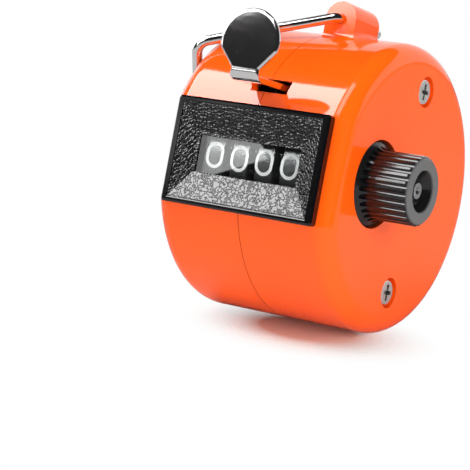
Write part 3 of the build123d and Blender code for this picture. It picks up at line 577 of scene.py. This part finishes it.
def digitRing(name, wheelX, body):
    mesh = bmesh.new()
    wide = digits["width"] - digits["stroke"]
    high = digits["height"] - digits["stroke"]
    for value, strokes in enumerate(strokeShares):
        turn = -radians(digits["turnEach"] * value)
        for level, stroke in enumerate(strokes):
            points = [(x * wide, z * high) for x, z in stroke]
            closed = (Vector(points[0]) - Vector(points[-1])).length < digits["joinWithin"]
            points = evenSteps(points, digits["pointStep"])
            lift = digits["proud"] + level * digits["strokeLift"]
            left, right = [
                [mesh.verts.new(onWheel(wheelX + x, z, turn, lift)) for x, z in side]
                for side in strokeEdges(points, closed)
            ]
            for step in range(len(points) - 1):
                mesh.faces.new((left[step], right[step], right[step + 1], left[step + 1]))
    data = bpy.data.meshes.new(name)
    mesh.to_mesh(data)
    mesh.free()
    for face in data.polygons:
        face.use_smooth = True
    piece = bpy.data.objects.new(name, data)
    bpy.context.scene.collection.objects.link(piece)
    piece.data.materials.append(digitWhite)
    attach(piece, body)


for number, body in enumerate(("units", "tens", "hundreds", "thousands")):
    digitRing(body + "_digits", (1.5 - number) * digits["pitch"], body)

print("camera")

view = {
    "place": (144.508, -236.674, 92.121),  # millimetres from the middle of the foot
    "turn": 34.098,
    "downward": 16.028,
    "lens": 138.53,
    "sensor": 36,
    "nearest": 0.01,
}
camera = bpy.data.objects.new("camera", bpy.data.cameras.new("camera"))
bpy.context.scene.collection.objects.link(camera)
camera.data.lens = view["lens"]
camera.data.sensor_width = view["sensor"]
camera.data.clip_start = view["nearest"]
camera.location = Vector(view["place"]) * mm
camera.rotation_euler = (radians(90 - view["downward"]), 0, radians(view["turn"]))
bpy.context.scene.camera = camera
bpy.context.scene.view_settings.view_transform = "Standard"

print("lights")

# each light: the way to it from the counter, how far, its sides, the way its second side runs,
# its power, and whether it lights the plain colours or the mirrored ones
studio = {
    "sky": {
        "way": (-0.25, -0.2, 0.95), "far": 0.6, "size": (0.4, 0.4), "along": (0, 1, 0),
        "power": 4.0, "on": "plain",
    },
    "right": {
        "way": (0.85, -0.35, 0.35), "far": 0.6, "size": (0.4, 0.4), "along": (0, 0, 1),
        "power": 3.4, "on": "plain",
    },
    "front": {
        "way": (-0.1, -0.95, 0.1), "far": 0.6, "size": (0.5, 0.4), "along": (0, 0, 1),
        "power": 0.9, "on": "plain",
    },
    "over": {
        "way": (-0.538, -0.409, 0.738), "far": 0.45, "size": (0.3, 0.44), "along": (0, 0.92, 0.39),
        "power": 4.8, "on": "mirror",
    },
    "card": {
        "way": (-0.552, -0.769, 0.321), "far": 0.623, "size": (0.034, 0.048), "along": (0.76, -0.285, 0.578),
        "power": 0.009, "on": "mirror",
    },
    "low": {
        "way": (-0.54, -0.8265, 0.1607), "far": 0.6, "size": (0.04, 0.12), "along": (0.825, -0.565, 0),
        "power": 0.06, "on": "mirror",
    },
    "behind": {
        "way": (-0.1, 1, 0.22), "far": 0.6, "size": (0.5, 2.4), "along": (1, 0, 0),
        "power": 3.6, "on": "mirror",
    },
    "left": {
        "way": (-1, 0.42, 0.2), "far": 0.6, "size": (0.3, 0.5), "along": (0, 0, 1),
        "power": 0.7, "on": "mirror",
    },
    "crown": {
        "way": (0.05, -0.2, 0.97), "far": 0.6, "size": (0.2, 0.3), "along": (0, 1, 0),
        "power": 0.9, "on": "mirror",
    },
}
lightsAim = Vector((0, 0, 0.025))


def softLight(name, setup):
    toward = Vector(setup["way"]).normalized()
    along = Vector(setup["along"])
    along = (along - toward * along.dot(toward)).normalized()
    spot = lightsAim + toward * setup["far"]
    data = bpy.data.lights.new(name, "AREA")
    data.shape = "RECTANGLE"
    data.size, data.size_y = setup["size"]
    data.energy = setup["power"]
    lamp = bpy.data.objects.new(name, data)
    bpy.context.scene.collection.objects.link(lamp)
    columns = (along.cross(toward), along, toward, spot)
    lamp.matrix_world = Matrix([[column[row] for column in columns] for row in range(3)] + [(0, 0, 0, 1)])
    lamp.visible_glossy = setup["on"] == "mirror"
    lamp.visible_diffuse = setup["on"] == "plain"
    lamp.visible_camera = False


for name, setup in studio.items():
    softLight(name, setup)

print("surround")

surround = {
    "white": (1, 1, 1, 1),
    "air": 0.12,  # how strongly the surround lights plain colours, and shows in mirrors
    "mirrored": 0.02,
}
world = bpy.data.worlds.new("studio")
bpy.context.scene.world = world
world.use_nodes = True
sky = Graph(world.node_tree)
strength = surround["air"] + sky.lightPath("Is Camera Ray") * (1 - surround["air"])
strength = strength - sky.lightPath("Is Glossy Ray") * (surround["air"] - surround["mirrored"])
ambient = sky.node("ShaderNodeBackground", None, {"Color": surround["white"], "Strength": strength})
sky.node("ShaderNodeOutputWorld", None, {"Surface": ambient})

sweep = {
    "half": 1.5,
    "paper": (0.93, 0.93, 0.93, 1),
    "paperDull": (0.91, 0.91, 0.91, 1),
    "paperNoise": (40.0, 2.0),
    # painted shadow: a darker warm colour that the camera sees on the floor round the counter's foot
    "paintedShadow": (0.76, 0.65, 0.56, 1),
    "mirrored": (0.42, 0.42, 0.42, 1),
    "middle": (0.004, -0.009, 0),  # the camera sees the floor in an oval round this place
    "stretch": (0.55, 1, 1),
    "edge": (0.013, 0.0045),
}
floorMesh = bmesh.new()
bmesh.ops.create_grid(floorMesh, x_segments=1, y_segments=1, size=sweep["half"])
floorData = bpy.data.meshes.new("floor")
floorMesh.to_mesh(floorData)
floorMesh.free()
floor = bpy.data.objects.new("floor", floorData)
bpy.context.scene.collection.objects.link(floor)


def paintFloor(graph, where):
    soft = graph.noise(where, *sweep["paperNoise"])
    oval = graph.vector("MULTIPLY", graph.vector("SUBTRACT", where, sweep["middle"]), sweep["stretch"])
    near = graph.between(graph.length(oval), *sweep["edge"])
    seen = graph.lightPath("Is Camera Ray")
    colour = graph.mix(soft, sweep["paper"], sweep["paperDull"])
    # for camera rays the floor takes the painted shadow colour, which deepens the contact shadow within the
    # oval
    colour = graph.mix(seen, colour, sweep["paintedShadow"])
    return {
        "Base Color": graph.mix(graph.lightPath("Is Glossy Ray"), colour, sweep["mirrored"]),
        "Alpha": 1 - seen * (1 - near * near),
    }


whitePaper = material("white sweep", paintFloor, {"Roughness": 0.9, "Specular IOR Level": 0.1})
floor.data.materials.append(whitePaper)
